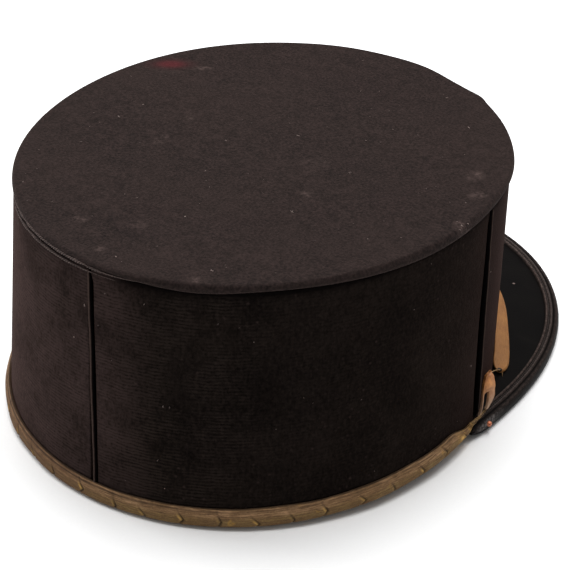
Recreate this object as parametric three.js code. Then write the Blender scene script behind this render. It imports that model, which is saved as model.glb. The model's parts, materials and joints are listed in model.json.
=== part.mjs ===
// A kepi cap: a stiff black cloth body with a flat crown, a brown edge binding round the back of
// the rim, a bound leather peak and a tan chin strap that lies on the peak.
//
// Lengths are millimetres and angles are degrees. The cap's own frame has the rim's plane at z = 0,
// the front along -Y and the wearer's right side along -X. A place on the cap is given by a turn
// round it, 0 at the front, +90 at the wearer's left and 180 at the back, and by how far it lies
// outward from the wall's outer face and above the rim's plane. At the end the cap is leant so that
// it stands on the back of its rim and on the front of its peak, as it does on a table.
import * as THREE from "three";

// Body
const RIM_LENGTH = 194; // outer length of the wall at the rim
const RIM_WIDTH = 176;
const RIM_EGG = -0.02; // how much wider the rim is before its middle than behind it, as a share
const RIM_SETBACK = 5.6; // the rim's middle lies this far behind the crown's
const CROWN_LENGTH = 196;
const CROWN_WIDTH = 170;
const CROWN_EGG = 0.03;
const CROWN_HEIGHT = 90; // crown's top over the rim, at the crown's middle
const CROWN_PITCH = 3.3; // the crown rises to the back by this angle
const CROWN_THICKNESS = 3;
const CROWN_ROLL = 1.5; // radius of the turned edge of the crown
const CROWN_OVERHANG = 0.5;
const WALL = 2.4;
const SIDE_SEAM = 77.3; // turn of the side seams
const GAP = 0.3; // clearance between pieces that touch

// Welts over the three seams
const WELT_WIDTH = 2.8;
const WELT_HEIGHT = 1.4;

// Binding round the rim, behind the peak
const BINDING_END = 82; // turn of its two ends, where the peak's tips begin
const BINDING_PROUD = 2.2;
const BINDING_ABOVE = 6; // reach over the rim's plane, outside
const BINDING_END_ABOVE = 4; // the same at its two ends
const BINDING_TAPER = 9; // turn over which it narrows to its ends
const BINDING_INSIDE = 4.6; // reach over the rim's plane, inside the wall
const BINDING_BELOW = 1.3;
const BINDING_LINING = 1; // thickness of the leg inside the wall

// Peak
const PEAK_DEPTH = 46.5; // what the front of the peak has more than its tips
const PEAK_TIP = 1; // depth that is left at the tips
const PEAK_TAPER = 1.82; // how fast the peak narrows to its tips
const PEAK_DROOP = 6.5; // fall of the outer edge at the front
const PEAK_THICKNESS = 2.2;
const PEAK_TUCK = 3; // the peak reaches this far inside the wall's inner face
const PEAK_BINDING_WIDTH = 4.6;
const PEAK_BINDING = 1.1; // thickness of the leather folded over the peak's edge

// Chin strap
const STRAP_WIDTH = 5.4; // as seen from above
const STRAP_THICKNESS = 1.8;
const STRAP_END = 61; // turn of the strap's two ends
const STRAP_BOW = 14; // how far the strap stands off the wall at the front
const STRAP_LEAN = 8; // the strap's inner edge is raised over the peak by this angle
const STRAP_POINT = 5; // length of the rounded end on the wearer's right

// Torn strap ends at the side seams
const TAB_WIDTH = 7;
const TAB_HEIGHT = 14;
const TAB_THICKNESS = 1.5;
const TAB_SLIT = 1.4;
const TAB_TURN = 73;

// Rivet stubs on the peak's tips
const RIVET_DIAMETER = 1.8;
const RIVET_HEIGHT = 1.6;
const RIVET_TURN = 77.6;
const RIVET_OUT = 0.6; // from the peak's edge, on its binding

const STEP = 3; // turn between two sections of a swept piece
const UP = new THREE.Vector3(0, 0, 1);
const radians = THREE.MathUtils.degToRad;

// Finishes
const finish = (color, roughness, metalness = 0) =>
  new THREE.MeshStandardMaterial({ color, roughness, metalness });
const CROWN_CLOTH = finish(0x3a3230, 0.95);
const WALL_CLOTH = finish(0x221c1a, 0.95);
const BINDING_LEATHER = finish(0x6e553c, 0.6);
const PEAK_LEATHER = finish(0x1a1717, 0.35);
const STRAP_LEATHER = finish(0xb07a4a, 0.7);
const COPPER = finish(0xbe5a32, 0.35, 1);

const rim = {
  length: RIM_LENGTH,
  width: RIM_WIDTH,
  egg: RIM_EGG,
  setback: RIM_SETBACK,
};
const crown = {
  length: CROWN_LENGTH,
  width: CROWN_WIDTH,
  egg: CROWN_EGG,
  setback: 0,
};

// Point of an oval at a turn, at height 0.
function onOval(oval, turn) {
  const a = radians(turn);
  const x = (oval.width / 2) * Math.sin(a) * (1 + oval.egg * Math.cos(a));
  return new THREE.Vector3(x, oval.setback - (oval.length / 2) * Math.cos(a), 0);
}

// Level direction in which an oval's edge runs at a turn, with the turn growing.
function along(oval, turn) {
  const step = 0.01;
  return onOval(oval, turn + step).sub(onOval(oval, turn - step)).normalize();
}

// Level direction that points out of an oval at a turn.
const outward = (oval, turn) => along(oval, turn).cross(UP);

// Turn that covers a length along the rim.
function turnFor(length, turn) {
  const perDegree = onOval(rim, turn + 0.5).distanceTo(onOval(rim, turn - 0.5));
  return length / perDegree;
}

// Point of the crown's edge, moved outward and down from the crown's top face.
function crownEdge(turn, out, down) {
  const point = onOval(crown, turn).addScaledVector(outward(crown, turn), out);
  point.z = CROWN_HEIGHT + Math.tan(radians(CROWN_PITCH)) * point.y - down;
  return point;
}

// Point beside the rim, moved outward from the wall's outer face and up from the rim's plane.
const besideRim = (turn) => (out, up) =>
  onOval(rim, turn).addScaledVector(outward(rim, turn), out).addScaledVector(UP, up);

// Point of the wall: a share of the way from rim to crown, moved outward from its outer face.
const onWall = (turn) => (out, share) =>
  onOval(rim, turn)
    .lerp(crownEdge(turn, -CROWN_OVERHANG, CROWN_THICKNESS + GAP), share)
    .addScaledVector(outward(rim, turn), out);

// Point beside the wall's foot: as beside the rim, but leaning with the wall over the rim's plane.
const besideWall = (turn) => (out, up) => {
  const top = onWall(turn)(0, 1);
  const point = onWall(turn)(out, Math.max(0, up) / top.z);
  return point.setZ(up);
};

// Turns from one to another, ends included, about one STEP apart.
function turns(from, to) {
  const count = Math.max(2, Math.ceil((to - from) / STEP));
  return Array.from({ length: count + 1 }, (_, i) => from + ((to - from) * i) / count);
}

// A mesh from points and faces, with its faces turned to point out.
function meshOf(name, material, points, faces) {
  let volume = 0;
  for (let i = 0; i < faces.length; i += 3) {
    const [a, b, c] = [0, 1, 2].map((k) => points[faces[i + k]]);
    volume += a.dot(b.clone().cross(c));
  }
  const geometry = new THREE.BufferGeometry().setFromPoints(points);
  geometry.setIndex(volume < 0 ? faces.slice().reverse() : faces);
  geometry.computeVertexNormals();
  const mesh = new THREE.Mesh(geometry, material);
  mesh.name = name;
  return mesh;
}

// A closed solid swept through sections. Each section has a place, which maps the two numbers of an
// outline's point to space, and an outline. All outlines have as many points.
function swept(name, material, sections) {
  const rings = sections.map(({ place, outline }) => outline.map(([u, v]) => place(u, v)));
  const points = rings.flat();
  const sides = rings[0].length;
  const faces = [];
  for (let i = 0; i + 1 < rings.length; i++) {
    for (let j = 0; j < sides; j++) {
      const [a, b] = [i * sides + j, i * sides + ((j + 1) % sides)];
      faces.push(a, a + sides, b + sides, a, b + sides, b);
    }
  }
  for (const end of [0, rings.length - 1]) {
    const flat = sections[end].outline.map(([u, v]) => new THREE.Vector2(u, v));
    const clockwise = THREE.ShapeUtils.isClockWise(flat);
    for (const face of THREE.ShapeUtils.triangulateShape(flat, [])) {
      const sameWay = THREE.ShapeUtils.isClockWise(face.map((k) => flat[k])) === clockwise;
      if (sameWay !== (end === 0)) face.reverse();
      faces.push(...face.map((k) => k + end * sides));
    }
  }
  return meshOf(name, material, points, faces);
}

// A point on a quarter of an ellipse round a middle, with its reach outward and upward.
function roundPoint([u, v], reachU, reachV, angle) {
  return [u + reachU * Math.cos(radians(angle)), v + reachV * Math.sin(radians(angle))];
}

// The crown: a disc with a rolled edge and a flat top face.
function crownTop() {
  const lower = CROWN_THICKNESS - CROWN_ROLL;
  const edge = [
    [-CROWN_ROLL, CROWN_THICKNESS],
    ...[-60, -30, 0].map((a) => roundPoint([-lower, CROWN_ROLL], lower, -lower, a)),
    ...[30, 60, 90].map((a) => roundPoint([-CROWN_ROLL, CROWN_ROLL], CROWN_ROLL, -CROWN_ROLL, a)),
  ];
  const around = turns(0, 360).slice(0, -1);
  const points = around.flatMap((turn) => edge.map(([out, down]) => crownEdge(turn, out, down)));
  const [under, over] = [points.length, points.length + 1];
  points.push(new THREE.Vector3(0, 0, CROWN_HEIGHT - CROWN_THICKNESS));
  points.push(new THREE.Vector3(0, 0, CROWN_HEIGHT));
  const faces = [];
  around.forEach((_, i) => {
    const here = i * edge.length;
    const next = ((i + 1) % around.length) * edge.length;
    for (let j = 0; j + 1 < edge.length; j++) {
      faces.push(here + j, next + j, next + j + 1, here + j, next + j + 1, here + j + 1);
    }
    faces.push(under, next, here);
    faces.push(over, here + edge.length - 1, next + edge.length - 1);
  });
  return meshOf("crown_top", CROWN_CLOTH, points, faces);
}

// A panel of the wall between two seams, ending half a gap short of each.
function panel(name, from, to) {
  const outline = [
    [-WALL, 0],
    [0, 0],
    [0, 1],
    [-WALL, 1],
  ];
  const edges = turns(from + turnFor(GAP / 2, from), to - turnFor(GAP / 2, to));
  return swept(name, WALL_CLOTH, edges.map((turn) => ({ place: onWall(turn), outline })));
}

// A rounded welt that lies over a seam, from a height over the rim's plane up to the crown's edge.
function welt(name, turn, foot) {
  const side = along(rim, turn);
  const half = WELT_WIDTH / 2;
  const outline = [0, 30, 60, 90, 120, 150, 180].map((a) =>
    roundPoint([0, 2 * GAP], half, WELT_HEIGHT - 2 * GAP, a),
  );
  outline.push([-half, GAP], [half, GAP]);
  const bottom = foot / CROWN_HEIGHT;
  const sections = [0, 0.25, 0.5, 0.75, 1].map((share) => ({
    place: (u, v) => onWall(turn)(v, THREE.MathUtils.lerp(bottom, 1, share)).addScaledVector(side, u),
    outline,
  }));
  return swept(name, WALL_CLOTH, sections);
}

// Reach of the binding over the rim's plane, outside, at a turn.
function bindingAbove(turn) {
  const fromEnd = Math.min(turn - BINDING_END, 360 - BINDING_END - turn);
  const share = THREE.MathUtils.smoothstep(fromEnd, 0, BINDING_TAPER);
  return THREE.MathUtils.lerp(BINDING_END_ABOVE, BINDING_ABOVE, share);
}

// The binding: a folded strip that takes the wall's raw edge between its two legs.
function edgeBinding() {
  const middle = GAP - WALL / 2;
  const inside = -WALL - GAP - BINDING_LINING;
  const clear = turnFor(GAP, BINDING_END);
  const sections = turns(BINDING_END + clear, 360 - BINDING_END - clear).map((turn) => {
    const above = bindingAbove(turn);
    const outline = [
      [GAP, -GAP],
      [GAP, above - 0.6],
      [GAP + 0.7, above],
      [BINDING_PROUD - 0.5, above - 1],
      [BINDING_PROUD, above - 2.6],
      [BINDING_PROUD, 0.9],
      [BINDING_PROUD - 0.7, -0.6],
      [middle + 0.8, -BINDING_BELOW],
      [middle - 0.8, -BINDING_BELOW],
      [inside, -0.5],
      [inside, BINDING_INSIDE],
      [-WALL - GAP, BINDING_INSIDE],
      [-WALL - GAP, -GAP],
    ];
    return { place: besideWall(turn), outline };
  });
  return swept("edge_binding", BINDING_LEATHER, sections);
}

// Depth of the peak, from the wall's outer face to its outer edge, and the edge's fall, at a turn.
const peakDepth = (turn) => PEAK_TIP + PEAK_DEPTH * Math.cos(radians(turn)) ** PEAK_TAPER;
const peakFall = (turn) => PEAK_DROOP * Math.cos(radians(turn));

// Height of the peak's upper face at a distance out from the wall: level under the wall, then
// falling a little faster and faster towards the edge.
function peakTop(turn, out) {
  const share = Math.max(0, out) / peakDepth(turn);
  return -GAP - peakFall(turn) * (0.75 * share + 0.25 * share * share);
}

const PEAK_TURN = BINDING_END - turnFor(GAP, BINDING_END);

// The peak: a leather crescent whose inner border lies under the wall.
function peak() {
  const sections = turns(-PEAK_TURN, PEAK_TURN).map((turn) => {
    const depth = peakDepth(turn);
    const outs = [-WALL - PEAK_TUCK, 0, 0.3, 0.6, 0.85, 1].map((k) => (k > 0 ? k * depth : k));
    const upper = outs.map((out) => [out, peakTop(turn, out)]);
    const lower = upper.map(([out, up]) => [out, up - PEAK_THICKNESS]).reverse();
    return { place: besideRim(turn), outline: [...upper, ...lower] };
  });
  return swept("peak", PEAK_LEATHER, sections);
}

// The binding of the peak: leather folded over its outer edge, wide at the front and narrowing
// where the peak itself is narrower than the binding.
function peakBinding() {
  const sections = turns(-PEAK_TURN, PEAK_TURN).map((turn) => {
    const depth = peakDepth(turn);
    const width = Math.min(PEAK_BINDING_WIDTH, depth - GAP);
    const over = (out, rise) => [out, peakTop(turn, Math.min(out, depth)) + rise];
    const under = (out, rise) => [out, peakTop(turn, Math.min(out, depth)) - PEAK_THICKNESS - rise];
    const inner = depth - width;
    const middle = depth - width / 2;
    const edge = depth + GAP;
    const roll = edge + PEAK_BINDING;
    const outline = [
      over(inner, GAP),
      over(inner + 0.1 * width, GAP + PEAK_BINDING),
      over(middle, GAP + PEAK_BINDING),
      over(depth, GAP + PEAK_BINDING),
      over(edge + 0.7 * PEAK_BINDING, GAP / 2),
      [roll, peakTop(turn, depth) - PEAK_THICKNESS / 2],
      under(edge + 0.7 * PEAK_BINDING, GAP / 2),
      under(depth, GAP + PEAK_BINDING),
      under(middle, GAP + PEAK_BINDING),
      under(inner + 0.1 * width, GAP + PEAK_BINDING),
      under(inner, GAP),
      under(middle, GAP),
      under(edge, GAP),
      over(edge, GAP),
      over(middle, GAP),
    ];
    return { place: besideRim(turn), outline };
  });
  return swept("peak_binding", PEAK_LEATHER, sections);
}

// Distance from the wall to the strap's inner edge: nothing at its ends, most at the front.
function strapOffset(turn) {
  const share = Math.min(1, Math.abs(turn) / STRAP_END);
  return GAP + STRAP_BOW * (1 - share * share) ** 2;
}

// Rise of the strap where its outer edge lies on the peak's binding instead of on the peak.
function strapRise(turn) {
  const clear = peakDepth(turn) - PEAK_BINDING_WIDTH - GAP - strapOffset(turn) - STRAP_WIDTH;
  return THREE.MathUtils.clamp(-3 * clear, 0, PEAK_BINDING + GAP);
}

// The chin strap: a band that lies on the peak round the front, with its inner edge raised. It is
// rounded off at the wearer's right.
function chinStrap() {
  const lean = Math.tan(radians(STRAP_LEAN));
  const pointTurn = turnFor(STRAP_POINT, STRAP_END);
  const ends = turns(pointTurn - STRAP_END, STRAP_END);
  const point = turns(-STRAP_END, pointTurn - STRAP_END).slice(0, -1);
  const sections = [...point, ...ends].map((turn) => {
    const cut = Math.max(0, (pointTurn - STRAP_END - turn) / pointTurn);
    const middle = strapOffset(turn) + STRAP_WIDTH / 2;
    const half = (STRAP_WIDTH / 2) * Math.sqrt(1 - 0.9 * cut * cut);
    const outer = strapOffset(turn) + STRAP_WIDTH;
    const seat = (out) => peakTop(turn, out) + strapRise(turn) + GAP + (outer - out) * lean;
    const outs = [middle - half, middle, middle + half];
    const lower = outs.map((out) => [out, seat(out)]);
    const upper = outs.map((out) => [out, seat(out) + STRAP_THICKNESS]).reverse();
    return { place: besideRim(turn), outline: [...lower, ...upper] };
  });
  return swept("chin_strap", STRAP_LEATHER, sections);
}

// Place for a small part beside the wall: x runs along the rim, y up and z outward.
function seatOn(turn, out, up) {
  const frame = new THREE.Group();
  const basis = new THREE.Matrix4().makeBasis(along(rim, turn), UP, outward(rim, turn));
  frame.quaternion.setFromRotationMatrix(basis);
  frame.position.copy(besideRim(turn)(out, up));
  return frame;
}

// A torn strap end that stands against the wall with a slit from its foot.
function strapTab(name, turn) {
  const half = TAB_WIDTH / 2;
  const slit = TAB_SLIT / 2;
  const shape = new THREE.Shape();
  shape.moveTo(-half, 0);
  shape.lineTo(-half, TAB_HEIGHT - half);
  shape.absarc(0, TAB_HEIGHT - half, half, Math.PI, 0, true);
  shape.lineTo(half, 0);
  shape.lineTo(slit, 0);
  shape.lineTo(slit, TAB_HEIGHT / 2);
  shape.lineTo(-slit, TAB_HEIGHT / 2);
  shape.lineTo(-slit, 0);
  shape.closePath();
  const geometry = new THREE.ExtrudeGeometry(shape, {
    depth: TAB_THICKNESS,
    bevelEnabled: false,
    curveSegments: 6,
  });
  const mesh = new THREE.Mesh(geometry, STRAP_LEATHER);
  mesh.name = name;
  const seat = seatOn(turn, 2 * GAP, peakTop(turn, 0) + 2 * GAP + PEAK_BINDING);
  seat.add(mesh);
  return seat;
}

// A copper rivet stub that stands on the peak's binding near its tip.
function rivet(name, turn) {
  const out = peakDepth(turn) + RIVET_OUT;
  const radius = RIVET_DIAMETER / 2;
  const mesh = new THREE.Mesh(new THREE.CylinderGeometry(radius, radius, RIVET_HEIGHT, 12), COPPER);
  mesh.name = name;
  mesh.position.y = RIVET_HEIGHT / 2;
  const seat = seatOn(turn, out, peakTop(turn, out - RIVET_DIAMETER) + 2 * GAP + PEAK_BINDING);
  seat.add(mesh);
  return seat;
}

const cap = new THREE.Group();
cap.add(
  crownTop(),
  panel("front_panel", -SIDE_SEAM, SIDE_SEAM),
  panel("left_panel", SIDE_SEAM, 180),
  panel("right_panel", 180, 360 - SIDE_SEAM),
  welt("rear_welt", 180, BINDING_ABOVE + GAP),
  welt("left_welt", SIDE_SEAM, PEAK_BINDING + 2 * GAP),
  welt("right_welt", -SIDE_SEAM, PEAK_BINDING + 2 * GAP),
  edgeBinding(),
  peak(),
  peakBinding(),
  chinStrap(),
  strapTab("left_strap_tab", TAB_TURN),
  strapTab("right_strap_tab", -TAB_TURN),
  rivet("left_rivet", RIVET_TURN),
  rivet("right_rivet", -RIVET_TURN),
);

const kepi = new THREE.Group();
kepi.add(cap);

// Lowest point of a piece, with the cap as it leans now.
function lowestPoint(name) {
  const mesh = cap.getObjectByName(name);
  mesh.updateWorldMatrix(true, false);
  const place = mesh.geometry.getAttribute("position");
  const points = Array.from({ length: place.count }, (_, i) =>
    new THREE.Vector3().fromBufferAttribute(place, i).applyMatrix4(mesh.matrixWorld),
  );
  return points.reduce((low, point) => (point.z < low.z ? point : low));
}

// The cap leans until its peak's binding and its rim's binding both touch the table. Each pass
// leans it by what is left between the two.
for (let pass = 0; pass < 4; pass++) {
  const front = lowestPoint("peak_binding");
  const back = lowestPoint("edge_binding");
  cap.rotation.x -= Math.atan2(back.z - front.z, back.y - front.y);
}

// The table is at z = 0, with the cap's box in the middle of it.
const box = new THREE.Box3().setFromObject(kepi, true);
cap.position.set(-(box.min.x + box.max.x) / 2, -(box.min.y + box.max.y) / 2, -box.min.z);

export default kepi;
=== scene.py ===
"""The looks of a kepi cap: black wool, a brown rim binding, a bound leather peak and a strap.

The cap's own frame is in millimetres, with the rim's plane at z = 0, the front along -Y and the
wearer's right side along -X. A turn goes round the cap in degrees: 0 at the front, 90 at the
wearer's left, 180 at the back. placed() takes points of that frame to the cap as it stands on the
table, in metres, by the frame's own numbers.
"""

import json
import math

import bpy
import numpy as np
from mathutils import Matrix


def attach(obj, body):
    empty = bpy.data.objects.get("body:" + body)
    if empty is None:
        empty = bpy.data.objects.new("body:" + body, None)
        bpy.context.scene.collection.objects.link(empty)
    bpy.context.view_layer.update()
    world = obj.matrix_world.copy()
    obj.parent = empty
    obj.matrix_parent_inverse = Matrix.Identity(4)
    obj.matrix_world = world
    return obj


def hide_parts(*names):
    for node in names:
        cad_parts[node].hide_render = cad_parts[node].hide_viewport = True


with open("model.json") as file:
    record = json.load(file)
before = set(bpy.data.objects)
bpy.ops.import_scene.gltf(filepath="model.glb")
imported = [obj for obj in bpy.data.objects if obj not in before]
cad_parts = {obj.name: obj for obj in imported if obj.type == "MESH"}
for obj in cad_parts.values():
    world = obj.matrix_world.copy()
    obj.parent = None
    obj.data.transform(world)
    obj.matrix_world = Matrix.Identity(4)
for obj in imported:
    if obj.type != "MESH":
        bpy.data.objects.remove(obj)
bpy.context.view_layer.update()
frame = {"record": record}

MM = 0.001

# Sizes of the cap, as its solids have them
RIM = {"length": 194.0, "width": 176.0, "egg": -0.02, "setback": 5.6}
CROWN = {"length": 196.0, "width": 170.0, "egg": 0.03, "setback": 0.0}
CROWN_HEIGHT = 90.0
CROWN_PITCH = 3.3
CROWN_THICKNESS = 3.0
CROWN_ROLL = 1.5
CROWN_OVERHANG = 0.5
WALL = 2.4
SIDE_SEAM = 77.3
BINDING_END = 82.0
BINDING_PROUD = 2.2
BINDING_ABOVE = 6.0
BINDING_INSIDE = 4.6
BINDING_BELOW = 1.3
PEAK_DEPTH = 46.5
PEAK_TIP = 1.0
PEAK_TAPER = 1.82
PEAK_DROOP = 6.5
PEAK_THICKNESS = 2.2
PEAK_TUCK = 3.0
PEAK_BINDING_WIDTH = 4.6
PEAK_BINDING = 1.1
STRAP_WIDTH = 5.4
STRAP_THICKNESS = 1.8
STRAP_END = 61.0
STRAP_BOW = 14.0
STRAP_LEAN = 8.0
GAP = 0.3

# Camera, fitted to the photograph
CAMERA_TURN = -144.819
CAMERA_RISE = 32.338
CAMERA_ROLL = 1.682
CAMERA_DISTANCE = 0.82248
CAMERA_TARGET = (-0.0028, 0.00978, 0.03402)
CAMERA_LENS = 137.5
CAMERA_SENSOR = 36.0
PHOTO = 570

# How the cap leans on the table: the crown's face is a mount, so its point and normal say it
crown_face = next(m for m in frame["record"]["mounts"] if m["name"] == "crown_face")
LEAN = -math.asin(crown_face["axis"][1]) - math.radians(CROWN_PITCH)
LEANING = np.array(
    [[1, 0, 0], [0, math.cos(LEAN), -math.sin(LEAN)], [0, math.sin(LEAN), math.cos(LEAN)]]
)
STAND = np.array(crown_face["pos_m"]) - MM * LEANING @ (0, 0, CROWN_HEIGHT)


def placed(points):
    """Points of the cap's frame, in millimetres, as places on the table, in metres."""
    return MM * np.asarray(points) @ LEANING.T + STAND


def unplaced(places):
    """Places on the table, in metres, as points of the cap's frame, in millimetres."""
    return (np.asarray(places) - STAND) @ LEANING / MM


# Shapes of the cap

def together(*parts):
    """Points from arrays of their coordinates, stretched to one shape."""
    return np.stack(np.broadcast_arrays(*parts), -1)


def run_along(path):
    """Distance along a path at each of its points: the sum of the steps up to it."""
    steps = np.linalg.norm(np.diff(path, axis=0), axis=-1)
    return np.concatenate([[0], np.cumsum(steps)])


def oval(shape, turn):
    """x = half width * sin turn * (1 + egg * cos turn), y = setback - half length * cos turn."""
    a = np.radians(turn)
    x = shape["width"] / 2 * np.sin(a) * (1 + shape["egg"] * np.cos(a))
    return x, shape["setback"] - shape["length"] / 2 * np.cos(a)


def outward(shape, turn):
    """Level unit normal of an oval, from the difference of two places a little apart."""
    (x0, y0), (x1, y1) = oval(shape, turn - 0.01), oval(shape, turn + 0.01)
    size = np.hypot(x1 - x0, y1 - y0)
    return (y1 - y0) / size, (x0 - x1) / size


def beside_rim(turn, out, up):
    """Point of the rim, moved out along its normal and up."""
    (x, y), (nx, ny) = oval(RIM, turn), outward(RIM, turn)
    return together(x + out * nx, y + out * ny, up)


def crown_edge(turn, out, down):
    """Point of the crown's oval, moved out, on a plane that rises to the back, less down."""
    (x, y), (nx, ny) = oval(CROWN, turn), outward(CROWN, turn)
    x, y = x + out * nx, y + out * ny
    return together(x, y, CROWN_HEIGHT + math.tan(math.radians(CROWN_PITCH)) * y - down)


def on_wall(turn, out, share):
    """Point a share of the way up the straight line from the rim to under the crown, moved out."""
    foot = beside_rim(turn, out, 0.0)
    nx, ny = outward(RIM, turn)
    head = crown_edge(turn, -CROWN_OVERHANG, CROWN_THICKNESS + 0.1)
    head = head + together(out * nx, out * ny, 0.0)
    share = np.asarray(share)[..., None]
    return foot * (1 - share) + head * share


def beside_wall(turn, out, up):
    """Point beside the foot of the wall, leaning with the wall over the rim's plane."""
    top = crown_edge(turn, -CROWN_OVERHANG, CROWN_THICKNESS)[..., 2]
    points = on_wall(turn, out, np.maximum(0, up) / top)
    points[..., 2] = np.broadcast_to(up, points.shape[:-1])
    return points


def peak_depth(turn):
    """Depth of the peak from the wall to its edge: tip + depth * cos(turn) ** taper."""
    cosine = np.maximum(np.cos(np.radians(turn)), 0)
    return PEAK_TIP + PEAK_DEPTH * cosine**PEAK_TAPER


def peak_top(turn, out):
    """Height of the peak's upper face: it falls by droop * cos turn, faster to its edge."""
    share = np.maximum(0, out) / peak_depth(turn)
    fall = PEAK_DROOP * np.cos(np.radians(turn))
    return -GAP - fall * (0.75 * share + 0.25 * share**2)


def wander(seed, *coordinates, waves=6):
    """Smooth unrest between about -1 and 1: sines with drawn directions, speeds and phases, added
    and divided by the root of their number."""
    draw = np.random.default_rng(seed)
    total = 0.0
    for _ in range(waves):
        speeds = draw.normal(size=len(coordinates))
        speeds *= draw.uniform(0.5, 2.5) / np.linalg.norm(speeds)
        phase = draw.uniform(0, 2 * np.pi)
        total = total + np.sin(sum(k * c for k, c in zip(speeds, coordinates)) + phase)
    return total / math.sqrt(waves)


def bump_at(x, middle, width):
    """A smooth hump: exp(-((x - middle) / width) ** 2)."""
    return np.exp(-(((x - middle) / width) ** 2))


def smooth_step(x, start, end):
    """0 before start, 1 after end, 3t^2 - 2t^3 between."""
    t = np.clip((x - start) / (end - start), 0, 1)
    return t * t * (3 - 2 * t)


def window(x, start, full, fading, end):
    """0 before start and after end, 1 from full to fading, smooth between."""
    return smooth_step(x, start, full) * (1 - smooth_step(x, fading, end))


# Meshes

def put(name, data):
    """An object of this data in the scene, at the origin."""
    thing = bpy.data.objects.new(name, data)
    bpy.context.scene.collection.objects.link(thing)
    return thing


def made(name, points, faces, finish, uv=None, marks=None, flat=0):
    """A piece from points of the cap's frame and quads or triangles, turned to face out.

    uv holds a pair for every corner of every face. marks are named values of the points. The
    last flat faces aren't shaded smooth.
    """
    mesh = bpy.data.meshes.new(name)
    sizes = np.array([len(f) for f in faces])
    corners = np.concatenate([np.asarray(f) for f in faces])
    starts = np.concatenate([[0], np.cumsum(sizes)[:-1]])
    second, third = corners[starts + 1], corners[starts + 2]
    volume = np.sum(points[corners[starts]] * np.cross(points[second], points[third]))
    if volume < 0:
        order = np.concatenate([np.arange(s + n - 1, s - 1, -1) for s, n in zip(starts, sizes)])
        corners = corners[order]
        uv = None if uv is None else uv[order]
    mesh.vertices.add(len(points))
    mesh.vertices.foreach_set("co", placed(points).ravel())
    mesh.loops.add(len(corners))
    mesh.loops.foreach_set("vertex_index", corners)
    mesh.polygons.add(len(faces))
    mesh.polygons.foreach_set("loop_start", starts)
    mesh.polygons.foreach_set("loop_total", sizes)
    smooth = np.ones(len(faces), bool)
    smooth[len(faces) - flat :] = False
    mesh.polygons.foreach_set("use_smooth", smooth)
    if uv is not None:
        mesh.uv_layers.new(name="surface").data.foreach_set("uv", uv.ravel())
    for key, values in (marks or {}).items():
        mesh.attributes.new(key, "FLOAT", "POINT").data.foreach_set("value", values.ravel())
    mesh.update()
    mesh.validate()
    mesh.materials.append(finish)
    piece = put(name, mesh)
    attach(piece, "root")
    return piece


def grid_faces(rows, columns, rings=False):
    """Quads of a grid of points, and the grid places of their corners, which run past the seam.
    Each row closes on itself, or where rings is true each column does."""
    row_count = rows if rings else rows - 1
    column_count = columns - 1 if rings else columns
    i, j = np.meshgrid(np.arange(row_count), np.arange(column_count), indexing="ij")
    places = np.stack([(i, j), (i + 1, j), (i + 1, j + 1), (i, j + 1)], -1).reshape(2, -1, 4)
    faces = (places[0] % rows) * columns + places[1] % columns
    return faces, places


def swept_faces(rows, columns):
    """Faces that join loops of points in a row and close its two ends, with the quads' places."""
    quads, places = grid_faces(rows, columns)
    first = np.arange(columns)
    return [*quads, first, (rows - 1) * columns + first[::-1]], places


def swept(name, points, finish, uv=None, marks=None):
    """A closed piece from sections, points[i, j] being point j of section i. Each end is closed
    by one flat face. uv has one more column than points, so that its pattern closes."""
    faces, (row, column) = swept_faces(*points.shape[:2])
    if uv is not None:
        uv = np.concatenate([uv[row, column].reshape(-1, 2), uv[0, :-1], uv[-1, :-1][::-1]])
    marks = {k: np.broadcast_to(v, points.shape[:2]) for k, v in (marks or {}).items()}
    return made(name, points.reshape(-1, 3), faces, finish, uv, marks, flat=2)


def joined(name, shapes, finish):
    """One piece from many small closed shapes, each a row of loops as in swept."""
    points, faces, start = [], [], 0
    for grid in shapes:
        faces += [f + start for f in swept_faces(*grid.shape[:2])[0]]
        points.append(grid.reshape(-1, 3))
        start += len(points[-1])
    return made(name, np.concatenate(points), faces, finish)


def arc(middle, reach, first, last, count):
    """Points on part of an ellipse: middle + reach * (cos, sin), from one angle to another."""
    a = np.radians(np.linspace(first, last, count))
    return np.stack([middle[0] + reach[0] * np.cos(a), middle[1] + reach[1] * np.sin(a)], -1)


# Materials

class Sock:
    """A node's output. Arithmetic on it adds Math nodes."""

    def __init__(self, finish, socket):
        self.finish = finish
        self.socket = socket

    def maths(self, operation, *values, clamp=False):
        settings = {"operation": operation, "use_clamp": clamp}
        return self.finish.node("ShaderNodeMath", settings, dict(enumerate(values)))

    def __add__(self, other):
        return self.maths("ADD", self, other)

    def __sub__(self, other):
        return self.maths("SUBTRACT", self, other)

    def __rsub__(self, other):
        return self.maths("SUBTRACT", other, self)

    def __mul__(self, other):
        return self.maths("MULTIPLY", self, other)

    def __pow__(self, other):
        return self.maths("POWER", self, other)

    __radd__ = __add__
    __rmul__ = __mul__

    def sine(self):
        return self.maths("SINE", self)

    def clamped(self):
        return self.maths("ADD", self, 0.0, clamp=True)

    def step(self, start, end):
        """0 at start and 1 at end, smooth between."""
        settings = {"interpolation_type": "SMOOTHSTEP"}
        return self.finish.node("ShaderNodeMapRange", settings, {0: self, 1: start, 2: end})


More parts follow.
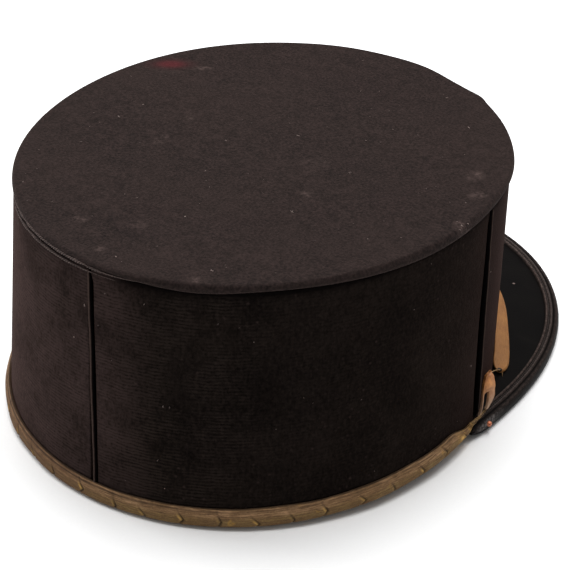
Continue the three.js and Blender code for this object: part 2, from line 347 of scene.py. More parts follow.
class Finish:
    """A material of one principled shader. Its methods add nodes and give back their outputs."""

    def __init__(self, name):
        self.material = bpy.data.materials.new(name)
        self.material.use_nodes = True
        self.tree = self.material.node_tree
        self.tree.nodes.clear()

    def node(self, kind, settings=None, inputs=None, output=0):
        made_node = self.tree.nodes.new(kind)
        for key, value in (settings or {}).items():
            setattr(made_node, key, value)
        for key, value in (inputs or {}).items():
            if isinstance(value, Sock):
                self.tree.links.new(value.socket, made_node.inputs[key])
            else:
                made_node.inputs[key].default_value = value
        if len(made_node.outputs) == 0:
            return None
        return Sock(self, made_node.outputs[output])

    def place(self):
        return self.node("ShaderNodeTexCoord", output="Object")

    def pattern(self):
        """The piece's own pattern map, in millimetres along and up its surface."""
        return self.node("ShaderNodeUVMap", {"uv_map": "surface"})

    def mark(self, name):
        return self.node("ShaderNodeAttribute", {"attribute_name": name}, output="Fac")

    def axis(self, vector, name):
        return self.node("ShaderNodeSeparateXYZ", None, {0: vector}, output=name)

    def stretched(self, vector, scale):
        return self.node("ShaderNodeMapping", None, {"Vector": vector, "Scale": scale})

    def noise(self, vector, scale, detail=2.0, roughness=0.5):
        """Noise of one scale, or of one for each axis."""
        if isinstance(scale, tuple):
            vector, scale = self.stretched(vector, scale), 1.0
        inputs = {"Vector": vector, "Scale": scale, "Detail": detail, "Roughness": roughness}
        return self.node("ShaderNodeTexNoise", None, inputs)

    def cells(self, vector, scale):
        return self.node("ShaderNodeTexVoronoi", None, {"Vector": vector, "Scale": scale})

    def mix(self, factor, first, second):
        inputs = {"Factor": factor, 6: self.colour(first), 7: self.colour(second)}
        return self.node("ShaderNodeMix", {"data_type": "RGBA"}, inputs, output=2)

    def coats(self, base, *coats):
        """A base with colours of 0 to 255 laid over it in turn, each as far as its factor says."""
        for factor, colour in coats:
            base = self.mix(factor, base, srgb(*colour))
        return base

    @staticmethod
    def colour(value):
        return (*value, 1.0) if isinstance(value, tuple) and len(value) == 3 else value

    def bump(self, height, distance):
        inputs = {"Height": height, "Distance": distance, "Strength": 1.0}
        return self.node("ShaderNodeBump", None, inputs)

    def done(self, hollow=None, **sockets):
        """Ends the material. A socket's name is written with _ for a space. hollow is painted
        shade: as far as it says, a near-black diffuse stands in for the shade deep in a seam."""
        inputs = {k.replace("_", " "): self.colour(v) for k, v in sockets.items()}
        shader = self.node("ShaderNodeBsdfPrincipled", None, inputs)
        if hollow is not None:
            # Painted shade: a near-black diffuse, mixed in by hollow.
            dark = self.node("ShaderNodeBsdfDiffuse", None, {"Color": (*srgb(8, 6, 6), 1.0)})
            shader = self.node("ShaderNodeMixShader", None, {0: hollow, 1: shader, 2: dark})
        self.node("ShaderNodeOutputMaterial", None, {"Surface": shader})
        return self.material

    def from_point(self, place, middle):
        return self.node("ShaderNodeVectorMath", {"operation": "SUBTRACT"}, {0: place, 1: middle})

    def along(self, vector, direction):
        settings = {"operation": "DOT_PRODUCT"}
        return self.node("ShaderNodeVectorMath", settings, {0: vector, 1: direction}, "Value")


def srgb(red, green, blue):
    """A colour of 0 to 255 as linear light."""
    values = (np.array([red, green, blue]) / 255.0 + 0.055) / 1.055
    return tuple(float(v) for v in values**2.4)


def crown_cloth():
    """Browned black wool, closely woven, with dust, a faint red stain and a few smears."""
    f = Finish("crown_cloth")
    place = f.place()
    nap = f.noise(place, 1000.0, 4.0, 0.7)
    cloud = f.noise(place, 28.0, 4.0, 0.6)
    patch = f.noise(place, 190.0, 4.0, 0.65)
    fibres = f.noise(place, 420.0, 3.0, 0.7).step(0.42, 0.68)
    dust = f.cells(f.stretched(place, (1.0, 1.0, 0.3)), 420.0)
    speck = (1 - dust.step(0.0, 0.16)) * f.noise(place, 60.0, 2.0).step(0.5, 0.62)
    base = f.coats(
        f.mix(cloud.step(0.3, 0.75), srgb(18, 14, 13), srgb(26, 20, 18)),
        ((nap * 0.75 + patch * 0.25).step(0.33, 0.72), (47, 37, 35)),
        (smears(f, place) * (0.12 + 1.1 * fibres), (96, 80, 76)),
        (spot(f, place, STAIN_PIXEL, STAIN_SIZE) * 0.4, (64, 24, 28)),
        (spot(f, place, STAIN_PIXEL, STAIN_CORE) * (0.05 + 0.5 * nap), (92, 26, 33)),
        (speck * 0.3, (84, 72, 68)),
    )
    return f.done(
        Base_Color=base, Roughness=0.95, Specular_IOR_Level=0.08, Normal=f.bump(nap, 0.0004),
        Sheen_Weight=0.1, Sheen_Roughness=0.45, Sheen_Tint=srgb(150, 122, 114),
    )


def spot(f, place, pixel, size):
    """A soft oval on the crown's face: 1 at its middle and 0 at its edge. It is given by its
    middle and half sizes in the photograph's pixels. A point's two shares of them are its
    distances along the level directions that are square to the other half size."""
    middle = crown_spot(pixel)
    first = crown_spot((pixel[0] + size[0], pixel[1])) - middle
    second = crown_spot((pixel[0], pixel[1] + size[1])) - middle
    normal = np.array(crown_face["axis"])
    away = f.from_point(place, tuple(middle))
    total = 0.0
    for one, other in ((first, second), (second, first)):
        square = np.cross(other, normal)
        share = f.along(away, tuple(square / (one @ square)))
        total = share * share + total
    return 1 - (total**0.5).step(0.15, 1.0)


def smears(f, place):
    """All the pale smears of the crown: the sum of their soft ovals."""
    total = 0.0
    for pixel, size, weight in SMEARS:
        total = spot(f, place, pixel, size) * weight + total
    return total.clamped()


RIB_PITCH = 1.25


def wall_cloth():
    """Black ribbed wool: fine level ribs, clear in places, with dust and browner patches. Painted
    shade darkens the seam grooves, the line under the crown's lip and the front panel, and a
    painted highlight lies along the welts' tops.
    """
    f = Finish("wall_cloth")
    surface = f.pattern()
    up = f.axis(surface, "Y")
    place = f.place()
    wobble = f.noise(surface, (0.16, 0.3, 1.0), 4.0, 0.6) * 11.0
    rib = (up * (2 * math.pi / RIB_PITCH) + wobble).sine() * 0.5 + 0.5
    nap = f.noise(place, 800.0, 4.0, 0.75)
    grain = f.noise(surface, (0.9, 0.28, 1.0), 4.0, 0.7)
    cloud = f.noise(place, 30.0, 4.0, 0.65)
    clear = f.mark("ribbed") * f.noise(place, 70.0, 4.0, 0.65).step(0.35, 0.68)
    weave = rib * clear * 0.28 + nap * 0.6 + grain * 0.4
    lighter_left_rear = f.mark("lighter_left_rear") * (0.4 + 0.6 * cloud.step(0.3, 0.62))
    dust = f.cells(place, 300.0)
    speck = (1 - dust.step(0.0, 0.24)) * f.noise(place, 50.0, 2.0).step(0.45, 0.65)
    base = f.coats(
        f.mix(cloud.step(0.3, 0.75), srgb(9, 6, 5), srgb(15, 11, 9)),
        ((weave * (0.75 + 0.5 * cloud)).step(0.36, 0.8), (33, 27, 24)),
        (lighter_left_rear * (0.25 + 0.75 * weave.step(0.34, 0.7)), (54, 43, 41)),
        (speck * 0.18, (92, 76, 72)),
        # Painted shade over the front panel.
        (f.mark("painted_front_shade"), (12, 8, 7)),
        # Painted highlight on the welts' tops.
        (f.mark("painted_ridge_highlight") * (0.35 + 0.65 * nap), (70, 58, 53)),
    )
    return f.done(
        # The seams' mark is painted shade: a near-black diffuse in the seam grooves, beside the
        # welts and under the crown's lip.
        f.mark("groove_and_painted_shade"), Base_Color=base, Roughness=0.95, Specular_IOR_Level=0.02,
        Sheen_Weight=0.1, Sheen_Roughness=0.35, Sheen_Tint=srgb(160, 112, 100),
        Normal=f.bump(rib * clear * 0.3 + nap * 0.8, 0.00025),
    )


def binding_leather():
    """Tarnished brown edge binding: fibres along it, a pinker upper fold that is also lighter as
    painted light, an olive lower half, dark smudges, specks of gilding, painted shade in the
    creases, along the top edge and over the left part and the foot, and painted highlights
    beside the creases."""
    f = Finish("binding_leather")
    surface = f.pattern()
    place = f.place()
    fibre = f.noise(surface, (0.14, 1.7, 1.0), 5.0, 0.7)
    patch = f.noise(place, 85.0, 5.0, 0.7)
    smudge = f.noise(surface, (0.3, 0.6, 1.0), 4.0, 0.7)
    fine = f.noise(surface, (1.1, 5.0, 1.0), 3.0, 0.7)
    shine = f.noise(place, 40.0, 1.0).step(0.45, 0.6)
    gilt_and_painted_glint = f.noise(place, 210.0, 3.0, 0.6).step(0.6, 0.7) * shine
    base = f.coats(
        # Pinker upper fold, partly painted light on the roll's top.
        f.mix(f.mark("upper"), srgb(130, 107, 68), srgb(166, 131, 98)),
        ((1 - patch.step(0.3, 0.62)) * 0.75, (104, 76, 46)),
        (1 - fibre.step(0.36, 0.66), (97, 73, 49)),
        (smudge.step(0.52, 0.74) * 0.55, (70, 50, 34)),
        (fine.step(0.52, 0.8) * 0.5, (206, 166, 118)),
        (gilt_and_painted_glint * 0.6, (190, 146, 66)),
        # Painted shade over the left part and the foot.
        (f.mark("painted_binding_shade") * (0.5 + 0.5 * smudge.step(0.3, 0.6)), (90, 64, 44)),
        (f.mark("gold") * patch.step(0.4, 0.6) * 0.7, (208, 160, 70)),
        # Painted shade in the creases, below the upper fold and along the top edge.
        (f.mark("crease_and_painted_shade"), (24, 15, 10)),
        # Painted highlights beside the creases and at one spot.
        (f.mark("glint") * 0.8, (228, 182, 100)),
    )
    return f.done(
        Base_Color=base, Roughness=0.75 - 0.3 * gilt_and_painted_glint, Metallic=gilt_and_painted_glint * 0.5, Specular_IOR_Level=0.12,
        Normal=f.bump(fibre * 0.7 + fine * 0.3 + smudge * 0.4, 0.0005),
    )


def peak_leather():
    """Black smooth leather with fine grain, dull gloss and faint scuffs, painted highlights on
    the binding's ridges and on its roll near the tips, and painted shade in its grooves.
    """
    f = Finish("peak_leather")
    place = f.place()
    grain = f.cells(place, 1300.0)
    cloud = f.noise(place, 45.0, 4.0, 0.6)
    scuff = f.noise(place, (30.0, 120.0, 60.0), 4.0, 0.7).step(0.58, 0.75)
    fleck = f.noise(place, 900.0, 3.0, 0.7).step(0.4, 0.65)
    base = f.coats(
        f.mix(cloud.step(0.3, 0.7), srgb(9, 7, 7), srgb(13, 11, 10)),
        (scuff * 0.15, (50, 45, 44)),
        # Painted highlight on the ridges.
        (f.mark("painted_ridge_highlight") * (0.35 + 0.65 * fleck), (84, 71, 66)),
        # Painted shade in the grooves.
        (f.mark("groove_and_painted_shade") * 0.85, (5, 4, 4)),
        # Painted highlight near the tips.
        (f.mark("wear_and_painted_highlight") * (0.2 + 0.8 * fleck), (112, 106, 104)),
    )
    return f.done(
        Base_Color=base, Roughness=0.42 + 0.15 * cloud + 0.2 * scuff, Specular_IOR_Level=0.03,
        Normal=f.bump(grain * 0.5 + cloud * 0.2, 0.00012),
    )


def strap_leather():
    """Bare tan leather: mottled, fibrous along its length, darker and greyer in worn places."""
    f = Finish("strap_leather")
    surface = f.pattern()
    place = f.place()
    patch = f.noise(place, 95.0, 4.0, 0.6)
    fibre = f.noise(surface, (0.35, 1.8, 1.0), 4.0, 0.6)
    pore = f.cells(place, 1500.0)
    away = f.from_point(place, STRAP_HOLE)
    hole = 1 - (f.along(away, away) ** 0.5).step(0.0008, 0.0013)
    base = f.coats(
        f.mix(patch.step(0.3, 0.7), srgb(130, 84, 42), srgb(158, 106, 53)),
        (fibre.step(0.35, 0.75) * 0.5, (174, 122, 70)),
        ((1 - pore.step(0.0, 0.25)) * 0.4, (100, 62, 34)),
        (f.mark("wear_and_painted_highlight") * 0.6, (92, 66, 44)),
        (hole, (14, 8, 5)),
    )
    return f.done(
        Base_Color=base, Roughness=0.62, Specular_IOR_Level=0.3,
        Normal=f.bump(fibre * 0.6 + pore * 0.4, 0.00018),
    )


def thread(name, colour, roughness=0.8):
    """Twisted thread: a darker and a lighter strand in turn."""
    f = Finish(name)
    twist = f.noise(f.place(), 1400.0, 2.0)
    dark = tuple(0.45 * c for c in colour)
    base = f.mix(twist.step(0.35, 0.65), dark, colour)
    return f.done(Base_Color=base, Roughness=roughness, Normal=f.bump(twist, 0.0001))


def copper():
    """Worn copper with a brown tarnish in patches."""
    f = Finish("copper")
    tarnish = f.noise(f.place(), 700.0, 3.0).step(0.4, 0.65)
    base = f.mix(tarnish, srgb(238, 160, 124), srgb(150, 84, 60))
    return f.done(Base_Color=base, Metallic=1.0, Roughness=0.3 + 0.3 * tarnish)


def lint():
    """Pale fluff caught in the cloth."""
    f = Finish("lint")
    tone = f.noise(f.place(), 300.0, 2.0)
    base = f.mix(tone.step(0.3, 0.7), srgb(66, 55, 52), srgb(122, 106, 100))
    return f.done(Base_Color=base, Roughness=1.0)


def floor_paper():
    """Plain white paper with the faintest tooth."""
    f = Finish("floor_paper")
    tooth = f.noise(f.place(), 900.0, 2.0)
    base = f.mix(tooth, (0.93, 0.93, 0.93), (0.96, 0.96, 0.96))
    return f.done(Base_Color=base, Roughness=1.0, Specular_IOR_Level=0.0)


# Camera

def looking_axes(turn, rise, roll=0.0):
    """Right, up and back of what looks at the cap from a turn and a rise, rolled about back."""
    turn, rise, roll = (math.radians(v) for v in (turn, rise, roll))
    level = math.cos(rise)
    back = np.array([math.sin(turn) * level, -math.cos(turn) * level, math.sin(rise)])
    right = np.array([math.cos(turn), math.sin(turn), 0.0])
    up = np.cross(back, right)
    rolled = right * math.cos(roll) + up * math.sin(roll)
    return rolled, up * math.cos(roll) - right * math.sin(roll), back


def hold(name, data, axes, place):
    """Puts a camera or a light at a place on the table, in metres, with its three axes."""
    turned = np.eye(4)
    turned[:3, :3] = np.stack(axes, 1)
    turned[:3, 3] = place
    holder = put(name, data)
    holder.matrix_world = Matrix(turned.tolist())
    return holder


RIGHT, UP, BACK = looking_axes(CAMERA_TURN, CAMERA_RISE, CAMERA_ROLL)
EYE = np.array(CAMERA_TARGET) + BACK * CAMERA_DISTANCE
FOCAL = CAMERA_LENS / CAMERA_SENSOR * PHOTO


def add_camera():
    """The camera that took the photograph."""
    camera = bpy.data.cameras.new("camera")
    camera.lens = CAMERA_LENS
    camera.sensor_width = CAMERA_SENSOR
    camera.clip_end = 50.0
    bpy.context.scene.camera = hold("camera", camera, (RIGHT, UP, BACK), EYE)


def pixels(places):
    """Where places on the table show in the photograph, in its pixels."""
    away = places - EYE
    depth = -away @ BACK
    x = PHOTO / 2 + FOCAL * (away @ RIGHT) / depth
    y = PHOTO / 2 - FOCAL * (away @ UP) / depth
    return np.stack([x, y], -1)


def nearest(points, spots):
    """For each pixel of the photograph, the index of the point that shows nearest to it."""
    seen = pixels(placed(points))
    return [int(np.argmin(np.sum((seen - spot_at) ** 2, -1))) for spot_at in np.asarray(spots)]


def crown_spot(pixel):
    """The place where a pixel's ray meets the crown's face."""
    x, y = pixel
    ray = -BACK + RIGHT * (x - PHOTO / 2) / FOCAL - UP * (y - PHOTO / 2) / FOCAL
    face, normal = np.array(crown_face["pos_m"]), np.array(crown_face["axis"])
    return EYE + ray * ((face - EYE) @ normal) / (ray @ normal)


# Places read off the photograph, in its pixels
STAIN_PIXEL = (171, 64)
STAIN_SIZE = (34, 8)
STAIN_CORE = (20, 5)
SMEARS = (
    # middle, half sizes and strength of a pale smear on the crown
    ((203, 68), (14, 3), 0.3),
    ((172, 72), (16, 3), 0.15),
    ((475, 176), (14, 7), 0.35),
    ((478, 196), (14, 6), 0.3),
    ((80, 218), (11, 6), 0.3),
    ((100, 249), (9, 5), 0.25),
    ((140, 225), (16, 8), 0.12),
    ((196, 280), (10, 5), 0.25),
    ((463, 226), (16, 8), 0.4),
    ((317, 163), (22, 9), 0.12),
    ((307, 194), (11, 5), 0.25),
    ((158, 141), (9, 5), 0.25),
    ((165, 136), (6, 3), 0.3),
    ((190, 118), (7, 4), 0.2),
)
CROWN_LINT = (
    (143, 105), (226, 141), (119, 117), (81, 142), (23, 182), (27, 201), (52, 202), (137, 198),
    (185, 217), (116, 257), (212, 271), (397, 68), (447, 98), (469, 128), (298, 136), (366, 141),
    (350, 173), (292, 212), (314, 241), (401, 238), (457, 222), (462, 226), (468, 224), (460, 230),
)
WALL_LINT = (
    (84, 305), (106, 293), (145, 304), (98, 326), (74, 337), (163, 407), (170, 407), (157, 460),
    (48, 427), (219, 324), (471, 366), (490, 272), (254, 341),
)
PEAK_LINT = ((514, 284),)
STRAP_HOLE_PIXEL = (500, 367.5)
STRAP_TIP_PIXEL = (502.5, 373.5)
BINDING_CREASES = (59, 87, 118, 145, 182, 220, 255, 291, 323, 359, 389, 417, 439, 462)
# where the binding has a painted highlight spot
PAINTED_GLINT_PIXEL = (462, 436)
BINDING_CURVE = (
    # points of the binding's middle line, from the left
    (20, 414), (56, 459), (116, 490), (188, 507), (260, 510), (332, 499), (404, 469), (476, 420),
)

CROWN_CLOTH = crown_cloth()
WALL_CLOTH = wall_cloth()
BINDING_LEATHER = binding_leather()
PEAK_LEATHER = peak_leather()
DARK_THREAD = thread("dark_thread", srgb(78, 68, 64))
BROWN_THREAD = thread("brown_thread", srgb(150, 116, 70))
LIP_THREAD = thread("lip_thread", srgb(84, 69, 64), 0.95)
COPPER = copper()
LINT = lint()


# Crown

CROWN_DENTS = (
    # turn, half width of it in degrees, how far the edge stands out
    (-24.5, 3.0, 0.9),
    (-14.0, 7.0, -1.0),
    (8.0, 9.0, -0.6),
    (-62.0, 12.0, 0.7),
    (-118.0, 16.0, 0.5),
)


CROWN_UNREST = 0.16


def from_front(turn):
    """A turn as one of -180 to 180 degrees."""
    return (turn + 180.0) % 360.0 - 180.0


def crown_swell(turn):
    """How far the crown's edge stands out, from the dents and a slight unrest."""
    turn = from_front(turn)
    around = np.radians(turn)
    swell = 0.25 * wander(3, 3 * np.cos(around), 3 * np.sin(around))
    for middle, width, out in CROWN_DENTS:
        swell = swell + out * bump_at(turn, middle, width)
    return swell


def lip_drop(turn):
    """How much lower the crown's turned edge hangs where its cloth has slipped."""
    turn = from_front(turn)
    drop = 0.9 * bump_at(turn, -152.0, 10.0) - 0.5 * bump_at(turn, -174.0, 9.0)
    return drop + 1.3 * bump_at(turn, -97.0, 20.0)


def crown():
    """A disc with a rolled edge, as rings from the middle of its underside over the edge to the
    middle of its face. The face waves by a fraction of a millimetre, as cloth over board does."""
    turn = np.arange(0, 360, 0.4)[:, None]
    lower = CROWN_THICKNESS - CROWN_ROLL
    under = np.linspace(0.02, 1.0, 6, endpoint=False)[:, None]
    lower_edge = arc((-lower, CROWN_ROLL), (lower, -lower), -90, 0, 7)[:-1]
    upper_edge = arc((-CROWN_ROLL, CROWN_ROLL), (CROWN_ROLL, -CROWN_ROLL), 0, 90, 10)
    edge = np.concatenate([lower_edge, upper_edge])
    face = np.linspace(1.0, 0.02, 46)[1:, None]
    swell = crown_swell(turn)
    drop = lip_drop(turn) * smooth_step(edge[:, 1], 0.0, 1.5)
    rim_part = crown_edge(turn, edge[:, 0] + swell, edge[:, 1] + drop)
    low, high = np.array([(0, 0, CROWN_HEIGHT - CROWN_THICKNESS), (0, 0, CROWN_HEIGHT)])
    below = low + (rim_part[:, :1] - low) * under
    above = high + (rim_part[:, -1:] - high) * face
    points = np.concatenate([below, rim_part, above], 1)
    calm = smooth_step(np.linalg.norm(points[..., :2], axis=-1), 2.0, 20.0)
    relief = CROWN_UNREST * wander(5, points[..., 0] / 22, points[..., 1] / 22, waves=9)
    upper = np.arange(points.shape[1]) >= under.size + edge.shape[0] - 4
    points[..., 2] += relief * calm * upper
    return pole_ring("crown_cloth", points, CROWN_CLOTH)


def pole_ring(name, points, finish):
    """A closed piece of rings, points[i, j] being turn i of ring j, with two flat caps."""
    rows, columns = points.shape[:2]
    faces, _ = grid_faces(rows, columns, rings=True)
    turns_round = np.arange(rows) * columns
    caps = [turns_round[::-1], turns_round + columns - 1]
    return made(name, points.reshape(-1, 3), [*faces, *caps], finish)


WHIPPING_PITCH = 2.2


def whipping(name, first, last, seat):
    """Two strands wound round each other along the crown's lip, thinner towards both ends. seat
    gives their middle line for a turn."""
    turn = np.linspace(first, last, 1000)
    middle = seat(turn)
    out = together(*outward(CROWN, turn), 0.0)
    along = run_along(middle)
    size = 0.04 + 0.24 * window(turn, first, first + 12, last - 20, last)
    size = size * (1 + 0.15 * wander(83, along / 2.0))
    shapes = []
    for start in (0.0, math.pi):
        wound = 2 * math.pi * along / WHIPPING_PITCH + start + 0.5 * wander(84, along / 5.0)
        path = middle + size[:, None] * np.cos(wound)[:, None] * out
        path[:, 2] += size * np.sin(wound)
        shapes.append(tube(path, size, 6))
    return joined(name, shapes, LIP_THREAD)


def on_lip(turn):
    """Middle line of the strands on the crown's turned edge."""
    return crown_edge(turn, crown_swell(turn) - 0.05, 1.9 - lip_drop(turn))


def under_lip(turn):
    """Middle line of the strands on the wall, just under the crown."""
    return on_wall(turn, 0.5, 0.992)


# Wall

# For the turn of a seam, the half widths of the groove beside it, at the crown and at the rim
GROOVES = {180.0: (2.1, 2.8), 360 - SIDE_SEAM: (1.3, 3.2), SIDE_SEAM: (1.3, 3.2)}
GROOVE_DEPTH = 1.5
WALL_UNREST = 0.22


def panel_turns(first, last, seams):
    """Turns of a panel's loops, five times as close beside the seams where it is drawn in."""
    fine = np.arange(0.0, 4.5, 0.09)
    near = [np.clip([seam - fine, seam + fine], first, last).ravel() for seam in seams]
    coarse = np.linspace(first, last, int((last - first) / 0.45) + 2)
    return np.unique(np.round(np.concatenate([coarse, *near]), 3))[:, None]


def seam_groove(seam, away, share):
    """How far the wall is drawn in beside a seam, 0 to 1, by the distance away from it and the
    share of the height. It is narrower at the crown, and at the side seams shallower too."""
    upper, lower = GROOVES[seam]
    width = lower + (upper - lower) * smooth_step(share, 0.45, 0.9)
    width = width - 1.3 * smooth_step(share, 0.93, 1.0)
    sunk = 1 - smooth_step(away, width - 1.0, width + 1.0)
    return sunk * (1 - 0.4 * (seam != 180.0) * smooth_step(share, 0.5, 0.95))


def wall_panel(name, first, last, seams):
    """A panel from the rim to the crown, as upright loops: up its outer face, over its top and
    down its inner one. seams are the turns of the seams beside which it is drawn in."""
    turn = panel_turns(first, last, seams)
    along = run_along(on_wall(turn, 0.0, 0.0)[:, 0])[:, None]
    up = np.concatenate([[0, 0.004], np.linspace(0.012, 0.992, 60), [0.998, 1.0]])
    share = np.concatenate([up, np.linspace(1, 0, 16)])[None, :]
    inner = (np.arange(share.size) >= up.size).astype(float)[None, :]
    outer = 1 - inner
    rolled = 0.35 * bump_at(share, 0.0, 0.006) + 0.25 * bump_at(share, 1.0, 0.006)
    unrest = WALL_UNREST * wander(11, along / 26, share * 2.2, waves=8)
    unrest = unrest * smooth_step(share, 0.03, 0.15)
    groove_and_painted_shade = 0.0
    # How far the wall is drawn in beside each seam; the same share is painted shade there.
    for seam in seams:
        away = np.abs(along - np.interp(seam, turn[:, 0], along[:, 0]))
        groove_and_painted_shade = groove_and_painted_shade + seam_groove(seam, away, share) * outer
    out = (unrest - rolled) * outer - WALL * inner - GROOVE_DEPTH * groove_and_painted_shade
    # Painted shade: a dark line along the wall's top just under the crown's lip, strongest at the
    # back.
    painted_shade_under_crown = 0.15 + 0.7 * smooth_step(turn, 184.0, 192.0)
    painted_shade_under_crown = painted_shade_under_crown * (1 - 0.9 * smooth_step(turn, 245.0, 265.0))
    groove_and_painted_shade = np.maximum(groove_and_painted_shade, painted_shade_under_crown * smooth_step(share, 0.97, 0.985) * outer)
    points = on_wall(turn, out, share)
    height = share * (CROWN_HEIGHT - CROWN_THICKNESS)
    uv = together(along, np.append(height, height[:, :1], 1))
    marks = {
        "groove_and_painted_shade": groove_and_painted_shade,
        "painted_ridge_highlight": 0.0,
        # Lighter, browner cloth over the wearer's left rear.
        "lighter_left_rear": window(turn, 85.0, 120.0, 181.0, 200.0),
        "ribbed": 0.25 + 0.75 * window(turn, 140.0, 165.0, 205.0, 225.0),
        # Painted shade darkens the front panel.
        "painted_front_shade": 0.75 * (np.abs(turn) < SIDE_SEAM + 1),
    }
    return swept(name, points, WALL_CLOTH, uv, marks)


def welt(name, turn, lead, slant, hollow):
    """A thin rounded fold beside a seam, lead away from it at its top and slant more at its foot,
    with a slight waver. hollow is 1 or -1, the side on which the cloth is drawn in beside it."""
    nx, ny = outward(RIM, turn)
    side = np.array([-ny, nx, 0.0])
    share = np.linspace(1.8 / CROWN_HEIGHT, 0.998, 90)[:, None]
    corners = [[-0.55, -1.6], [0.55, -1.6]]
    around = np.concatenate([arc((0, -0.2), (0.55, 0.95), 0, 180, 18), corners])
    waver = 0.12 * wander(17, share * 9.0) + lead + slant * (1 - share)
    across = around[None, :, 0] + waver
    out = around[None, :, 1] * (1 + 0.06 * wander(19, share * 30.0))
    points = on_wall(turn, out, share) + across[..., None] * side
    uv = together(np.arange(len(around) + 1) * 0.3, share * CROWN_HEIGHT)
    beside = around[None, :, 0] * hollow
    # Painted shade on the welt's drawn-in side and a painted highlight along its top.
    marks = {
        "groove_and_painted_shade": smooth_step(beside, 0.3, 0.5),
        "painted_ridge_highlight": smooth_step(around[None, :, 1], 0.1, 0.55) * (1 - smooth_step(beside, 0.2, 0.4)),
        "lighter_left_rear": float(turn == 180.0),
        "ribbed": 0.0,
        "painted_front_shade": 0.0,
    }
    return swept(name, points, WALL_CLOTH, uv, marks)


# Rim binding

def binding_outline():
    """Outer face, foot and inner leg of the folded binding, as (out, up). Its upper edge is a
    fine ridge."""
    corners = [
        (GAP - 0.25, BINDING_ABOVE + 0.3), (GAP + 0.45, BINDING_ABOVE + 0.45),
        (GAP + 0.95, BINDING_ABOVE + 0.05), (GAP + 0.85, BINDING_ABOVE - 0.5),
        (GAP + 0.95, BINDING_ABOVE - 0.8), (BINDING_PROUD - 0.3, BINDING_ABOVE - 1.7),
        (BINDING_PROUD, BINDING_ABOVE - 2.9), (BINDING_PROUD + 0.1, 1.6),
        (BINDING_PROUD - 0.15, 0.3), (BINDING_PROUD - 0.8, -0.7),
        (0.0, -BINDING_BELOW + 0.05), (-WALL / 2, -BINDING_BELOW),
        (-WALL - 0.5, -1.0), (-WALL - 1.2, 0.0), (-WALL - 1.3, 1.6),
        (-WALL - 1.2, BINDING_INSIDE - 0.6), (-WALL - 0.8, BINDING_INSIDE),
        (-WALL + 0.1, BINDING_INSIDE), (-WALL + 0.3, 0.4), (-0.3, 0.4),
    ]
    return rounded(np.array(corners), 2)


def rounded(corners, times):
    """A closed outline with its corners cut again and again, a quarter from each end."""
    for _ in range(times):
        after = np.roll(corners, -1, 0)
        corners = np.stack([0.75 * corners + 0.25 * after, 0.25 * corners + 0.75 * after], 1)
        corners = corners.reshape(-1, 2)
    return corners


# The binding's ends, which are lower here than on its solid
BINDING_END_ABOVE = 1.6
BINDING_TAPER = 10.0
CREASE_REACH = 2.6
CREASE_DEPTH = 0.4


def crease_places(middle, along):
    """Distances along the binding of its creases: the ones that the photograph shows, and then
    more at their mean pitch on the side that it doesn't."""
    columns, curve = np.array(BINDING_CREASES), np.array(BINDING_CURVE)
    spots = np.stack([columns, np.interp(columns, curve[:, 0], curve[:, 1])], -1)
    seen = [along[k, 0] for k in nearest(middle, spots)]
    pitch = float(np.mean(np.abs(np.diff(seen))))
    return np.concatenate([seen, np.arange(min(seen) - pitch, 2.0, -pitch)])


def creases(places, along, crossing):
    """How deep the binding is creased and how it glints beside that, both 0 to 1. The depth is
    also painted shade in the creases, and the glints are painted highlights. Each of them is a
    hump across a pointed line: the line runs ahead by its reach, less a slope to each side of
    its bend. Its slant, bend, span and shine go by sines of its number."""
    crease_and_painted_shade = np.zeros(np.broadcast(along, crossing).shape)
    glint = np.zeros_like(crease_and_painted_shade)
    for number, place_along in enumerate(places):
        slant = 1 + 0.35 * math.sin(number * 2.3)
        bend = 0.42 + 0.12 * math.sin(number * 1.7)
        tip = place_along + CREASE_REACH * slant * (0.4 - np.abs(crossing - bend) * 1.8)
        span = bump_at(crossing, bend, 0.42 + 0.16 * math.sin(number * 3.1) ** 2)
        width = 0.42 + 0.3 * np.maximum(0, bend - crossing)
        crease_and_painted_shade = np.maximum(crease_and_painted_shade, bump_at(along, tip, width) * span)
        shine = bump_at(along, tip - 0.9, 0.4) * bump_at(crossing, bend + 0.1, 0.15)
        glint = np.maximum(glint, shine * (0.1 + 0.7 * math.sin(number * 1.3) ** 2))
    return crease_and_painted_shade, glint


